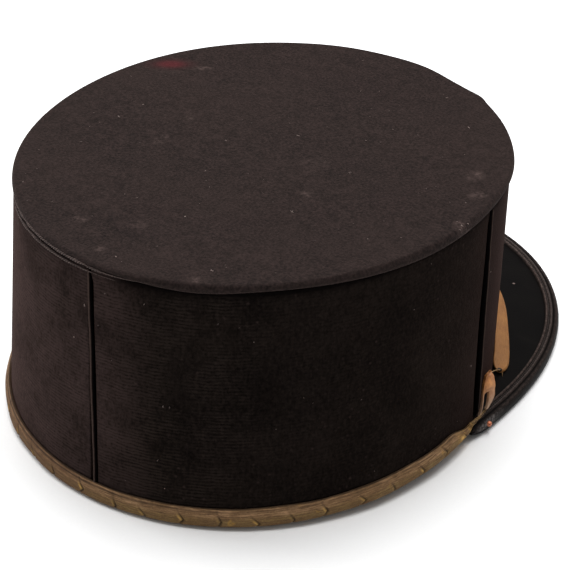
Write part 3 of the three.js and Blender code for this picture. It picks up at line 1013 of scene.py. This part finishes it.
def rim_binding():
    """The binding from side seam to side seam round the back: its outline swept along the wall's
    foot, drawn in by pointed stitch creases and thinning out at its two ends."""
    reach = BINDING_END - 0.6
    turn = np.linspace(reach, 360 - reach, 1200)[:, None]
    outline = binding_outline()
    middle = beside_rim(turn[:, 0], BINDING_PROUD, 2.5)
    along = run_along(middle)[:, None]
    out, up = outline[None, :, 0], outline[None, :, 1]
    face = smooth_step(out, 0.2, 1.2)
    crossing = np.clip((up + BINDING_BELOW) / (BINDING_ABOVE + BINDING_BELOW - 0.8), 0, 1)
    crease_and_painted_shade, glint = creases(crease_places(middle, along), along, crossing)
    # Painted highlight: one bright glint spot at its pixel, added to the glints beside the
    # creases.
    painted_glint_along = along[nearest(middle, [PAINTED_GLINT_PIXEL])[0], 0]
    gilt_and_painted_glint = bump_at(along, painted_glint_along, 1.3) * bump_at(crossing, 0.62, 0.16)
    crease_and_painted_shade, glint = crease_and_painted_shade * face, np.maximum(glint, gilt_and_painted_glint) * face
    swell = 0.12 * wander(23, along / 6.0, crossing * 2.0) + 0.1 * glint
    marks = binding_marks(turn, outline, crease_and_painted_shade, glint)
    thin = smooth_step(np.minimum(along, along[-1] - along), -4.0, 7.0)
    out = out + face * (swell - CREASE_DEPTH * crease_and_painted_shade)
    out = np.where(out > GAP, GAP + (out - GAP) * (0.35 + 0.65 * thin), out)
    from_end = np.minimum(turn - BINDING_END, 360 - BINDING_END - turn)
    taper = smooth_step(from_end, 0.0, BINDING_TAPER)
    above = BINDING_END_ABOVE + (BINDING_ABOVE - BINDING_END_ABOVE) * taper
    up = np.where(up > 0, up * above / BINDING_ABOVE, up)
    up = up + 0.12 * wander(29, along / 9.0) * smooth_step(up, 3.0, 6.0)
    points = beside_wall(turn, out, up)
    uv = together(along, run_along(np.append(outline, outline[:1], 0))[None, :])
    return swept("rim_binding", points, BINDING_LEATHER, uv, marks)


def binding_marks(turn, outline, crease_and_painted_shade, glint):
    """Where the binding gets painted shade (in its creases and valleys, along its top edge, over
    its left part and at its foot), painted glints, a pinker upper fold that is also painted
    light, and a golden end, by its turn and its outline.
    """
    outside, level = outline[None, :, 0] > 0, outline[None, :, 1]
    # Painted shade: a dark line below the upper fold, stronger at the left, and a lower one at the
    # left.
    painted_valley_shade = bump_at(level, BINDING_ABOVE - 0.75, 0.35) * outside
    painted_valley_shade = painted_valley_shade * (0.3 + 0.35 * (1 - smooth_step(turn, 190.0, 215.0)))
    left = 1 - smooth_step(turn, 160.0, 182.0)
    painted_valley_shade = painted_valley_shade + 0.35 * left * bump_at(level, 3.3, 0.4) * outside
    # Painted shade along the binding's top edge.
    lip = smooth_step(level, BINDING_ABOVE + 0.1, BINDING_ABOVE + 0.4) * 0.8
    # Painted shade over the left part of the binding, and a little at its foot.
    painted_left_shade = window(turn, 118.0, 138.0, 165.0, 195.0)
    return {
        "crease_and_painted_shade": np.clip(crease_and_painted_shade * 0.9 + painted_valley_shade + lip * outside, 0, 1),
        "glint": glint,
        # A pinker upper fold, also lighter as painted light on the roll's top.
        "upper": smooth_step(level, 2.4, 4.6) * outside,
        "painted_binding_shade": painted_left_shade * 0.8 + 0.2 * bump_at(level, -0.6, 1.2),
        "gold": 1 - smooth_step(360 - BINDING_END - turn, 2.0, 9.0),
    }


def tube(path, radius, sides):
    """A tube along a path of points: circles square to the path, turned as little as may be."""
    path = np.asarray(path, float)
    radius = np.broadcast_to(np.asarray(radius, float).ravel(), len(path))
    ahead = np.gradient(path, axis=0)
    ahead /= np.linalg.norm(ahead, axis=-1, keepdims=True)
    start = np.cross(ahead[0], (0.31, 0.52, 0.79))
    side = start - ahead * (ahead @ start)[:, None]
    side /= np.linalg.norm(side, axis=-1, keepdims=True)
    other = np.cross(ahead, side)
    a = np.linspace(0, 2 * np.pi, sides, endpoint=False)
    circle = np.cos(a)[None, :, None] * side[:, None] + np.sin(a)[None, :, None] * other[:, None]
    return path[:, None] + radius[:, None, None] * circle


# Peak

PEAK_TURN = BINDING_END + 0.9

# Turns over which the tips of the peak and of its binding are rounded off, and how far the tips
# are lifted
PEAK_CLOSING = 6.5
EDGE_CLOSING = 5.8
TIP_LIFT = 0.8


def tip_closing(turn, reach):
    """Share of the full thickness near the peak's tips: a quarter circle over a reach of turn."""
    share = np.clip((PEAK_TURN - np.abs(turn)) / reach, 0.0, 1.0)
    return np.sqrt(np.maximum(1 - (1 - share) ** 2, 0.01))


def closed_to(centre, up, closing):
    """Heights drawn in to the peak's middle height by its tips' closing, and lifted there."""
    return centre + (up - centre) * closing + TIP_LIFT * (1 - closing)


def peak():
    """The crescent of leather: an upper face that falls to its edge, and a lower one under it."""
    turn = np.linspace(-PEAK_TURN, PEAK_TURN, 420)[:, None]
    depth = peak_depth(turn)
    share = np.linspace(0, 1, 26)[None, :]
    inner = np.array([-WALL - PEAK_TUCK, -WALL, -0.6])
    out = np.concatenate([np.broadcast_to(inner, (turn.size, 3)), share * depth], 1)
    unrest = 0.12 * wander(31, turn / 14.0, out / 12.0) * smooth_step(out, 1.0, 8.0)
    upper = peak_top(turn, out) + unrest
    lower = upper - PEAK_THICKNESS
    out = np.concatenate([out, out[:, ::-1]], 1)
    up = np.concatenate([upper, lower[:, ::-1]], 1)
    tip = smooth_step(np.abs(turn), BINDING_END - 1.0, BINDING_END + 1.0)
    out = np.where(out < 0.5, out * (1 - tip) + 1.0 * tip * (out < 0), out)
    up = up - tip * 1.2
    centre = peak_top(turn, depth) - PEAK_THICKNESS / 2
    up = closed_to(centre, up, tip_closing(turn, PEAK_CLOSING))
    marks = {"painted_ridge_highlight": 0.0, "groove_and_painted_shade": 0.0, "wear_and_painted_highlight": 0.0}
    points = beside_rim(turn, out, up)
    return swept("peak_leather", points, PEAK_LEATHER, None, marks)


INNER_RIDGE, INNER_GROOVE = 0.7, 1.65
OUTER_RIDGE, OUTER_GROOVE = 2.65, 3.6
EDGE_RIDGES = (
    # distance from the binding's inner edge, half width and height of a ridge or groove
    (INNER_RIDGE, 0.60, 0.30),
    (INNER_GROOVE, 0.30, -0.40),
    (OUTER_RIDGE, 0.60, 0.35),
    (OUTER_GROOVE, 0.28, -0.34),
    (4.90, 0.90, 0.30),
)
STITCH_PITCH = 1.15


def edge_relief(distance):
    """Height of the peak binding's ridges and grooves, a sum of humps over the distance."""
    return sum(height * bump_at(distance, middle, width) for middle, width, height in EDGE_RIDGES)


def peak_binding():
    """Leather folded over the peak's edge: from its upper inner edge, over ridges and stitched
    grooves, round the outer roll and back on the underside."""
    turn = np.linspace(-PEAK_TURN, PEAK_TURN, 620)[:, None]
    depth = peak_depth(turn)
    width = PEAK_BINDING_WIDTH
    share = np.linspace(0, 1, 44)[None, :]
    roll = np.radians(np.linspace(90, -90, 15))[None, 1:-1]
    half = PEAK_THICKNESS / 2 + GAP + PEAK_BINDING
    distance = share * width
    out_top = depth - width + distance
    rise = PEAK_BINDING * smooth_step(distance, -0.3, 0.5) + edge_relief(distance)
    up_top = peak_top(turn, np.minimum(out_top, depth)) + GAP * 0.4 + rise * 0.9
    centre = peak_top(turn, depth) - PEAK_THICKNESS / 2
    out_roll = depth + 1.3 * np.cos(roll)
    up_roll = centre + half * np.sin(roll) * np.where(np.sin(roll) > 0, 0.95, 1.0)
    out_low = depth - share * width
    up_low = peak_top(turn, np.minimum(out_low, depth)) - PEAK_THICKNESS - GAP - PEAK_BINDING
    up_low = up_low + PEAK_BINDING * smooth_step(share, 0.93, 1.0)
    out = np.concatenate([out_top, out_roll, out_low], 1)
    up = np.concatenate([up_top, up_roll, up_low], 1)
    limit = np.where(np.abs(turn) < BINDING_END, GAP, 0.5)
    out = np.maximum(out, limit)
    closing = tip_closing(turn, EDGE_CLOSING)
    out = limit + (out - limit) * closing
    up = closed_to(centre, up, closing)
    # Painted highlights on the ridges and on the top of the roll, and painted shade in the
    # grooves.
    painted_ridge_highlight = np.zeros(out.shape)
    groove_and_painted_shade = np.zeros(out.shape)
    flat = distance.shape[1]
    painted_ridge_highlight[:, :flat] = bump_at(distance, INNER_RIDGE, 0.6)
    painted_ridge_highlight[:, :flat] += 0.85 * bump_at(distance, OUTER_RIDGE, 0.6)
    painted_ridge_highlight = np.clip(painted_ridge_highlight + 0.4 * bump_at(out, depth + 0.2, 0.7) * (up > centre), 0, 1)
    groove_and_painted_shade[:, :flat] = bump_at(distance, INNER_GROOVE, 0.24)
    groove_and_painted_shade[:, :flat] += 0.8 * bump_at(distance, OUTER_GROOVE, 0.24)
    # Painted highlight on the top of the roll near the tips.
    tip = smooth_step(np.abs(turn), 70.0, 78.0)
    wear_and_painted_highlight = tip * bump_at(out, depth + 0.9, 0.5) * smooth_step(up - centre, -1.0, 0.3)
    marks = {"painted_ridge_highlight": painted_ridge_highlight * (1 - 0.5 * tip), "groove_and_painted_shade": groove_and_painted_shade, "wear_and_painted_highlight": wear_and_painted_highlight}
    points = beside_rim(turn, out, up)
    return swept("peak_edge", points, PEAK_LEATHER, None, marks)


def stitches(name, distance, rise, size):
    """A row of short thread stitches along the peak's binding, a distance from its inner edge."""
    fine = np.linspace(-PEAK_TURN + 5, PEAK_TURN - 5, 2000)
    out = peak_depth(fine) - PEAK_BINDING_WIDTH + distance
    path = beside_rim(fine, out, peak_top(fine, out) + rise)
    along = run_along(path)
    clear = out > 1.0
    shapes = []
    for middle in np.arange(along[clear][0], along[clear][-1], STITCH_PITCH):
        places = middle + np.linspace(-0.36, 0.36, 7) * STITCH_PITCH
        dip = np.array([0.5, 0.15, 0.0, 0.0, 0.0, 0.15, 0.5]) * size * 2
        points = np.stack([np.interp(places, along, path[:, k]) for k in range(3)], -1)
        points[:, 2] -= dip
        radius = size * np.array([0.55, 0.9, 1.0, 1.0, 1.0, 0.9, 0.55])
        shapes.append(tube(points, radius, 6))
    return joined(name, shapes, DARK_THREAD)


# Strap

STRAP_CUT = 4.4
STRAP_PATTERN = 190.0


def strap_offset(turn):
    """Distance from the wall to the strap's inner edge: bow * (1 - share^2)^2, drawn in a little
    on each side."""
    share = np.minimum(1, np.abs(turn) / STRAP_END)
    return GAP + STRAP_BOW * (1 - share**2) ** 2 - 0.65 * bump_at(np.abs(turn), 43.5, 8.0)


def strap_points():
    """The strap's sections round the peak: a thin leant band with rounded edges, drawn together
    and rounded off at the wearer's right, where its end curls up a little."""
    end = STRAP_END - 0.2
    fine = -end + 6 * np.linspace(0, 1, 40)[:-1] ** 2
    turn = np.concatenate([fine, np.linspace(6 - end, end, 400)])[:, None]
    band = np.clip(turn, -STRAP_END, STRAP_END)
    half = STRAP_WIDTH / 2
    outer_edge = arc((half - 0.5, 0.0), (0.5, 0.5), 90, -90, 8)
    inner_edge = arc((-half + 0.5, 0.0), (0.5, 0.5), -90, -270, 8)
    section = np.concatenate([outer_edge, inner_edge])
    cut = np.clip((turn + end) / STRAP_CUT, 0, 1)
    round_off = np.sqrt(np.maximum(1 - (1 - cut) ** 2, 0.02))
    broad = 1 + 0.14 * bump_at(turn, -end, 14.0)
    across = section[None, :, 0] * round_off * broad - 0.8 * (1 - round_off)
    out = strap_offset(band) + half + across
    clear = peak_depth(band) - PEAK_BINDING_WIDTH - GAP - strap_offset(band) - STRAP_WIDTH
    rise = np.clip(-3 * clear, 0, PEAK_BINDING + GAP)
    lean = math.tan(math.radians(STRAP_LEAN))
    seat = peak_top(turn, out) + rise + GAP + (half - across) * lean
    thick = section[None, :, 1] * STRAP_THICKNESS * (0.7 + 0.3 * round_off)
    curl = 0.25 * wander(41, turn / 9.0, across / 4.0) * cut
    up = seat + STRAP_THICKNESS / 2 + thick * 0.95 + curl
    return turn, across, beside_rim(turn, out, up)


STRAP_TURN, STRAP_ACROSS, STRAP_POINTS = strap_points()


def on_strap(pixel):
    """The strap's place that shows at a pixel of the photograph."""
    places = STRAP_POINTS.reshape(-1, 3)
    return places[nearest(places, [pixel])[0]]


STRAP_HOLE = tuple(placed(on_strap(STRAP_HOLE_PIXEL)))
STRAP_LEATHER = strap_leather()


def strap():
    """The strap's sections joined, with its pattern along it and worn along both its edges."""
    along = np.linspace(0, STRAP_PATTERN, STRAP_TURN.size)[:, None]
    across = STRAP_ACROSS
    uv = together(along, np.append(across, across[:, :1], 1))
    edge = STRAP_WIDTH / 2
    wear_and_painted_highlight = 0.6 * bump_at(across, edge, 0.5) + 0.4 * bump_at(across, -edge, 0.6)
    return swept("strap_band", STRAP_POINTS, STRAP_LEATHER, uv, {"wear_and_painted_highlight": wear_and_painted_highlight})


TAB_TURN = 73.6
TAB_HEIGHT = 15.4
TAB_LEGS = (
    # where a leg's two edges run below the slit, how high its foot ends, how far the foot
    # narrows, and how thick the leg is
    (-0.5, -0.43, 0.0, 0.0, 0.6),
    (-0.06, 0.42, 0.14, 0.28, 0.56),
)


def torn_tab(name, sign):
    """A torn strap end: a sheet that stands by the wall and stands off it towards the front, split
    from its foot into two legs, of which the rear one trails back. Across runs from -0.5 at its
    rear edge to 0.5 at its front one, and height from 0 at its foot to 1 at its top."""
    shapes = []
    for rear, front, foot, narrowing, thickness in TAB_LEGS:
        height = foot + (1 - foot) * np.linspace(0, 1, 44)[:, None]
        whole = smooth_step(height, 0.52, 0.62)
        rear_edge = rear + (-0.5 - rear) * whole
        narrow = narrowing * (1 - smooth_step(height, foot, foot + 0.3))
        front_edge = front + (0.5 - front) * whole - narrow
        near_edge = arc((1, 0), (0.0, 1), 90, -90, 6)
        section = np.concatenate([near_edge, arc((0, 0), (0.0, 1), -90, -270, 6)])
        across = rear_edge + (front_edge - rear_edge) * np.round(section[None, :, 0])
        top = smooth_step(height, 0.82, 1.0)
        across = across * (1 - 0.3 * top) - 0.12 * top
        stand = 0.4 + 0.6 * np.sin(np.pi * np.clip(height * 0.95 + 0.12, 0, 1))
        out = 1.0 + 3.4 * (across + 0.5) * stand + 0.25 * np.sin(7 * height)
        thick = section[None, :, 1] * thickness
        out = out + 0.8 * thick
        turn = TAB_TURN - 3.0 * across + 3.0 * (1 - height) ** 2 + 0.35 * thick
        up = TAB_HEIGHT * height - 0.3 + 0.5 * across * top
        shapes.append(beside_wall(sign * turn, out, up))
    return joined(name, shapes, TAB_LEATHER)


def torn_tab_leather():
    """The strap's leather where it is torn: mottled brown with darker fibres, greyer towards its
    foot.
    """
    f = Finish("torn_tab_leather")
    place = f.place()
    patch = f.noise(place, 260.0, 4.0, 0.6)
    fibre = f.noise(place, (1500.0, 1500.0, 260.0), 3.0)
    low = 1 - f.axis(place, "Z").step(0.007, 0.019)
    base = f.coats(
        f.mix(patch.step(0.3, 0.7), srgb(148, 88, 40), srgb(196, 130, 66)),
        (low * (0.35 + 0.65 * patch), (142, 130, 118)),
        (fibre.step(0.55, 0.8) * 0.4, (96, 66, 42)),
    )
    return f.done(Base_Color=base, Roughness=0.6, Normal=f.bump(fibre, 0.0002))


TAB_LEATHER = torn_tab_leather()


RIVET_TURN = 77.6


def rivet(name, turn):
    """A domed copper stub: rings on a quarter circle over a short shank."""
    out = peak_depth(turn) + 1.3
    foot = beside_rim(turn, out, peak_top(turn, peak_depth(turn)) - 1.0)
    rings = np.concatenate([[(1.0, 0.0), (1.1, 1.0)], arc((0, 1.0), (1.1, 0.7), 10, 85, 7)])
    a = np.linspace(0, 2 * np.pi, 20, endpoint=False)[:, None]
    reach, up = rings.T
    points = foot + together(np.cos(a) * reach, np.sin(a) * reach, up)
    return pole_ring(name, points, COPPER)


# Threads and lint

CROWN_SPECKS = 60
WALL_SPECKS = 26
PEAK_FIBRES = 5
TAIL_THREADS = 7


def loose_threads():
    """The frayed golden tail of the binding, a thread at the strap's tip and one from its hole to
    the torn strap end, as thin tubes."""
    shapes = []
    draw = np.random.default_rng(7)
    for number in range(TAIL_THREADS):
        t = np.linspace(0, 1, 14)
        turn = -BINDING_END - 1.0 * draw.uniform() + t * (3.0 + 3.6 * draw.uniform())
        up = 1.5 + 2.0 * draw.uniform() + t * (0.5 + 1.5 * draw.uniform())
        out = 1.4 + 2.2 * t + 0.4 * np.sin(t * 5 + number)
        shapes.append(tube(beside_rim(turn, out, up), 0.16 * (1.1 - t), 6))
    t = np.linspace(0, 1, 12)[:, None]
    tip = on_strap(STRAP_TIP_PIXEL)
    turn = STRAP_TURN[0, 0]
    ahead = beside_rim(turn - 2.0, 5.0, -0.6) - beside_rim(turn, 4.6, 0.4)
    shapes.append(tube(tip + 0.6 * ahead * t, 0.2 * (1.1 - t), 6))
    hole = on_strap(STRAP_HOLE_PIXEL)
    top = beside_wall(-TAB_TURN - 0.6, 2.0, 15.0)
    arch = np.array([0.0, 0.0, 0.6]) * np.sin(np.pi * t)
    shapes.append(tube(hole + (top - hole) * t + arch, 0.22 - 0.05 * t, 6))
    return joined("loose_threads", shapes, BROWN_THREAD)


def fluff(name, places, normals, sizes, seed):
    """Lint: short bent fibres that lie on a surface, each a thin tube, one to three at a place."""
    draw = np.random.default_rng(seed)
    shapes = []
    for place_at, normal, size in zip(places, normals, sizes):
        for _ in range(draw.integers(1, 4)):
            heading = np.cross(normal, draw.normal(size=3))
            heading /= np.linalg.norm(heading)
            bend = np.cross(normal, heading) * draw.uniform(-0.6, 0.6)
            t = np.linspace(-0.5, 0.5, 6)[:, None]
            offset = heading * t + bend * (t**2 - 0.1)
            path = place_at + normal * 0.12 + offset * size * draw.uniform(0.6, 1.3)
            shapes.append(tube(path, 0.07 + 0.06 * draw.uniform(), 5))
    return joined(name, shapes, LINT)


def crossed(first, second):
    """Every pair of a value of the one and a value of the other, as two flat arrays."""
    return (values.ravel() for values in np.meshgrid(first, second, indexing="ij"))


def all_lint():
    """Lint where the photograph shows it, and finer specks scattered over crown and wall."""
    draw = np.random.default_rng(71)
    pitch = math.radians(CROWN_PITCH)
    face_normal = np.array([0.0, -math.sin(pitch), math.cos(pitch)])
    on_crown = [unplaced(crown_spot(p)) for p in CROWN_LINT]
    sizes = list(draw.uniform(0.7, 1.5, len(on_crown)))
    turn = draw.uniform(0, 360, CROWN_SPECKS)
    reach = np.sqrt(draw.uniform(0.02, 0.95, CROWN_SPECKS))[:, None]
    middle = np.array([0.0, 0.0, CROWN_HEIGHT])
    on_crown += list(middle + (crown_edge(turn, -CROWN_ROLL, 0.0) - middle) * reach)
    sizes += list(draw.uniform(0.2, 0.5, CROWN_SPECKS))
    fluff("crown_lint", on_crown, [face_normal] * len(on_crown), sizes, 72)
    turn, share = crossed(np.linspace(-300, -60, 481), np.linspace(0.08, 0.99, 120))
    net = on_wall(turn, 0.0, share)
    chosen = nearest(net, WALL_LINT) + list(draw.integers(0, len(net), WALL_SPECKS))
    normals = together(*outward(RIM, turn[chosen]), 0.0)
    sizes = list(draw.uniform(0.5, 0.9, len(WALL_LINT)))
    sizes += list(draw.uniform(0.2, 0.45, WALL_SPECKS))
    fluff("wall_lint", net[chosen], normals, sizes, 73)
    turn, share = crossed(np.linspace(-80, 0, 321), np.linspace(0.05, 0.85, 60))
    out = share * peak_depth(turn)
    net = beside_rim(turn, out, peak_top(turn, out))
    chosen = nearest(net, PEAK_LINT) * PEAK_FIBRES
    level = np.array([0.0, 0.0, 1.0])
    fluff("peak_lint", net[chosen], [level] * PEAK_FIBRES, [0.9] * PEAK_FIBRES, 74)


# The cap

PIECES = (
    (crown(), "crown_top"),
    (wall_panel("front_cloth", -SIDE_SEAM, SIDE_SEAM, ()), "front_panel"),
    (wall_panel("left_cloth", SIDE_SEAM, 180.0, (SIDE_SEAM,)), "left_panel"),
    (wall_panel("right_cloth", 180.0, 360 - SIDE_SEAM, (180.0, 360 - SIDE_SEAM)), "right_panel"),
    (welt("rear_fold", 180.0, 0.6, 1.6, 1), "rear_welt"),
    (welt("left_fold", SIDE_SEAM, -0.1, -0.35, 1), "left_welt"),
    (welt("right_fold", -SIDE_SEAM, 0.1, 0.35, -1), "right_welt"),
    (rim_binding(), "edge_binding"),
    (peak(), "peak"),
    (peak_binding(), "peak_binding"),
    (strap(), "chin_strap"),
    (torn_tab("right_torn_tab", -1), "right_strap_tab"),
    (torn_tab("left_torn_tab", 1), "left_strap_tab"),
    (rivet("right_stub", -RIVET_TURN), "right_rivet"),
    (rivet("left_stub", RIVET_TURN), "left_rivet"),
)
for piece, node in PIECES:
    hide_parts(node)
stitches("inner_stitches", INNER_GROOVE, GAP + 0.62, 0.13)
stitches("outer_stitches", OUTER_RIDGE, GAP + 1.2, 0.17)
loose_threads()
whipping("lip_whipping", 140.0, 196.0, on_lip)
whipping("seam_whipping", 143.0, 188.0, under_lip)
all_lint()


# Stage

def floor():
    """A plain sheet under the cap, 12 m square."""
    mesh = bpy.data.meshes.new("floor")
    mesh.from_pydata([(-6, -6, 0), (6, -6, 0), (6, 6, 0), (-6, 6, 0)], [], [(0, 1, 2, 3)])
    mesh.materials.append(floor_paper())
    sheet = put("floor", mesh)


LIGHTS_AIM = np.array([0, 0, 0.05])


def softbox(name, turn, rise, distance, width, height, power):
    """An area light that faces the cap from a turn and a rise."""
    light = bpy.data.lights.new(name, "AREA")
    light.shape = "RECTANGLE"
    light.size = width
    light.size_y = height
    light.energy = power
    axes = looking_axes(turn, rise)
    hold(name, light, axes, LIGHTS_AIM + axes[2] * distance)


def world_light(strength):
    """Even white light from all round."""
    world = bpy.data.worlds.new("room")
    world.use_nodes = True
    background = world.node_tree.nodes["Background"]
    background.inputs["Color"].default_value = (1, 1, 1, 1)
    background.inputs["Strength"].default_value = strength
    bpy.context.scene.world = world


add_camera()
floor()
softbox("overhead", CAMERA_TURN + 180, 78.0, 1.6, 1.6, 1.6, 46.0)
softbox("left_strip", CAMERA_TURN - 112, 18.0, 1.2, 0.5, 0.9, 7.0)
softbox("right_strip", CAMERA_TURN + 112, 18.0, 1.2, 0.5, 0.9, 0.4)
world_light(0.3)
bpy.context.scene.view_settings.view_transform = "Standard"
